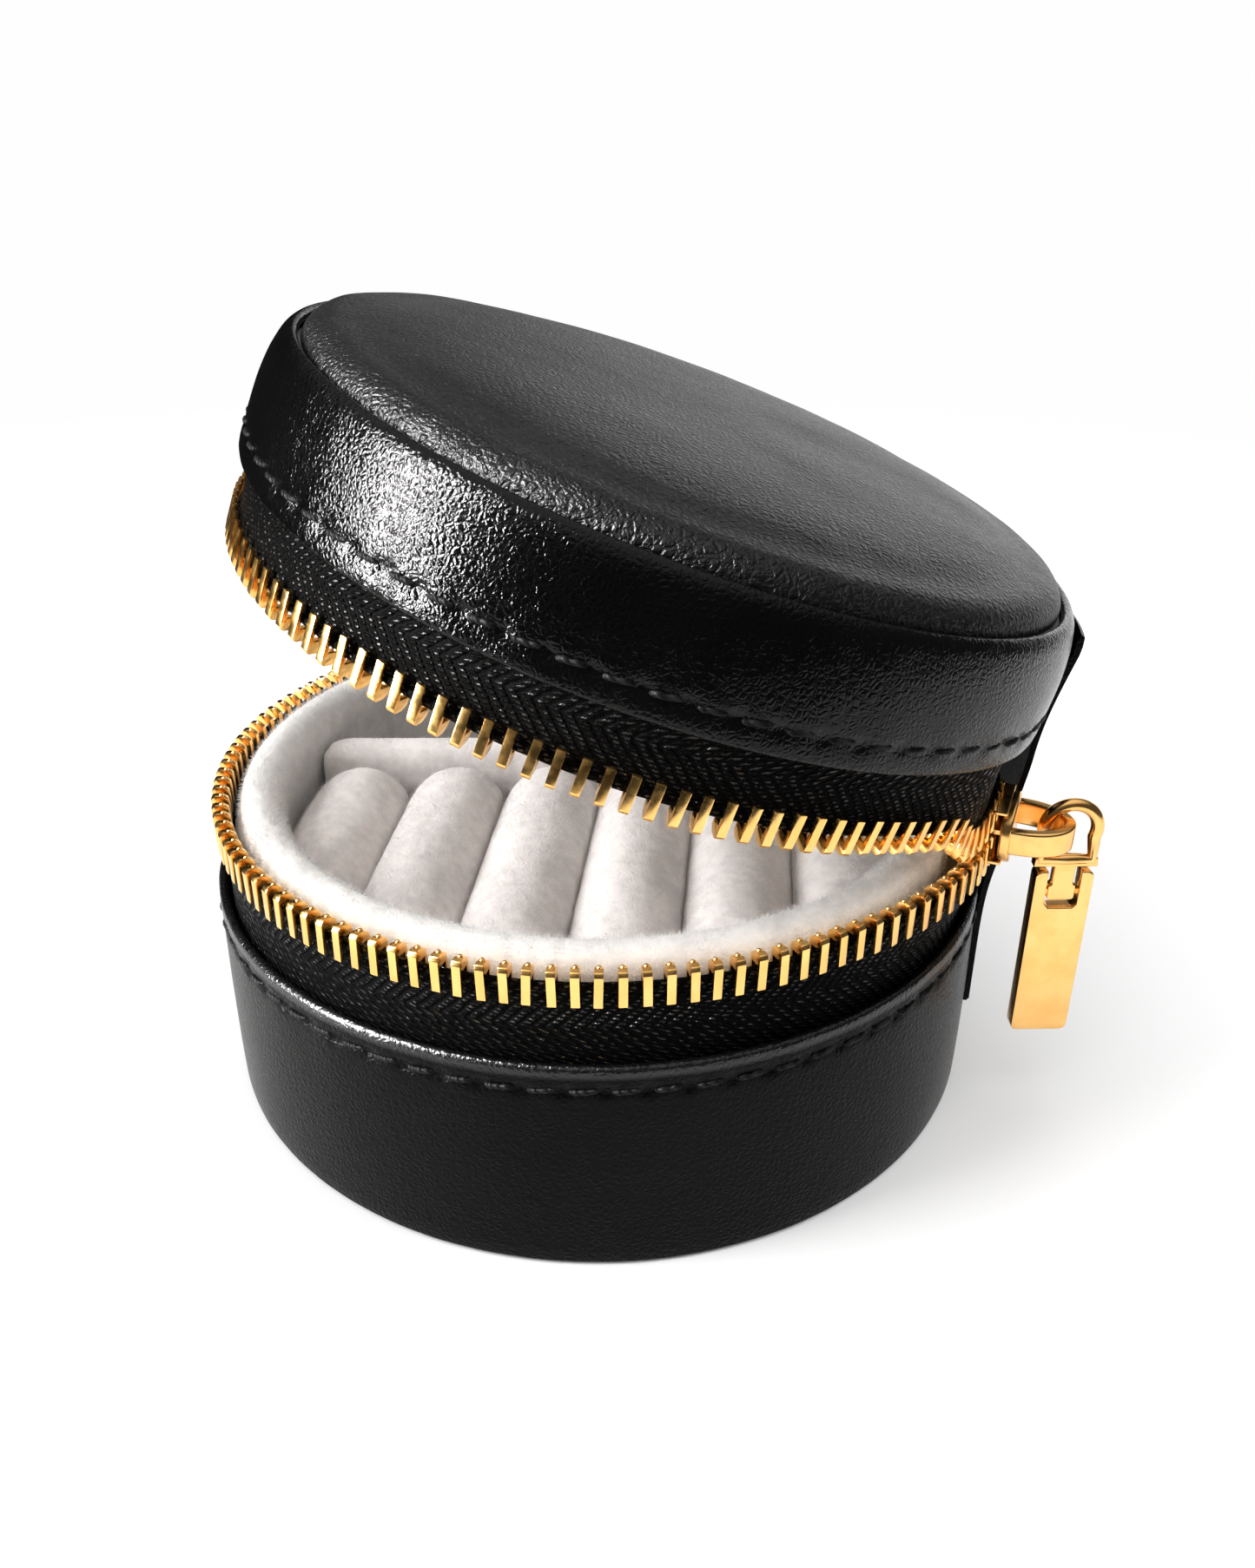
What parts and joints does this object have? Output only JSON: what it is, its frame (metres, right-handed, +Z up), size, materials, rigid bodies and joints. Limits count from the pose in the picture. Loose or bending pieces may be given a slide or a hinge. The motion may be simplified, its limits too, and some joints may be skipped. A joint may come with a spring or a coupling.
{
  "type": "jewelry box",
  "caption": "Round zip-around travel jewelry case with a hinged padded lid, velvet ring rolls and a rear compartment.",
  "frame": {"origin": "centre of the underside of the case, on the surface it stands on", "axes": "+Z up, +Y towards the hinge at the back, -Y towards the front, +X towards the side with the ring rolls"},
  "size_m": [0.0904, 0.0987, 0.0865],
  "materials": {
    "leather": "semi-gloss pebbled synthetic leather",
    "zip_tape": "woven tape",
    "gold_metal": "polished",
    "velvet": "short pile",
    "board": "raw card",
    "foam": "open cell",
    "thread": "twisted"
  },
  "bodies": {
    "base": {"base_side_wall": "leather", "base_bottom_panel": "leather", "base_board_shell": "board", "base_edge_stitching": "thread", "base_rim_padding": "velvet", "base_floor_lining": "velvet", "ring_pad_base": "foam", "ring_roll_1": "velvet", "ring_roll_2": "velvet", "ring_roll_3": "velvet", "ring_roll_4": "velvet", "ring_roll_5": "velvet", "ring_roll_6": "velvet", "compartment_divider": "velvet", "lower_zip_tape": "zip_tape", "lower_zip_teeth": "gold_metal", "hinge_strap_lower": "leather", "hinge_lining_lower": "zip_tape"},
    "lid": {"lid_side_wall": "leather", "lid_edge_stitching": "thread", "lid_top_panel": "leather", "lid_top_padding": "foam", "lid_board_shell": "board", "lid_rim_padding": "velvet", "lid_lining_pad": "velvet", "upper_zip_tape": "zip_tape", "upper_zip_teeth": "gold_metal", "hinge_strap_upper": "leather", "hinge_lining_upper": "zip_tape"},
    "slider": {"slider_body": "gold_metal"},
    "link": {"pull_link": "gold_metal"},
    "plate": {"pull_plate": "gold_metal"}
  },
  "joints": [
    {"name": "lid_hinge", "type": "hinge", "parent": "base", "child": "lid", "pos_m": [0, 0.0459, 0.0345], "axis": [-1, 0, 0], "range_deg": [-19.1, 76]},
    {"name": "slider_travel", "type": "hinge", "parent": "base", "child": "slider", "pos_m": [0, 0, 0.03575], "axis": [0, 0, 1], "range_deg": [-314, 0]},
    {"name": "pull_swing", "type": "hinge", "parent": "slider", "child": "link", "pos_m": [0.019, 0.0493, 0.03575], "axis": [1, 0, 0], "range_deg": [-1, 60]},
    {"name": "plate_pivot", "type": "hinge", "parent": "link", "child": "plate", "pos_m": [0.019, 0.05, 0.0278], "axis": [0, 1, 0], "range_deg": [-25, 25]}
  ]
}
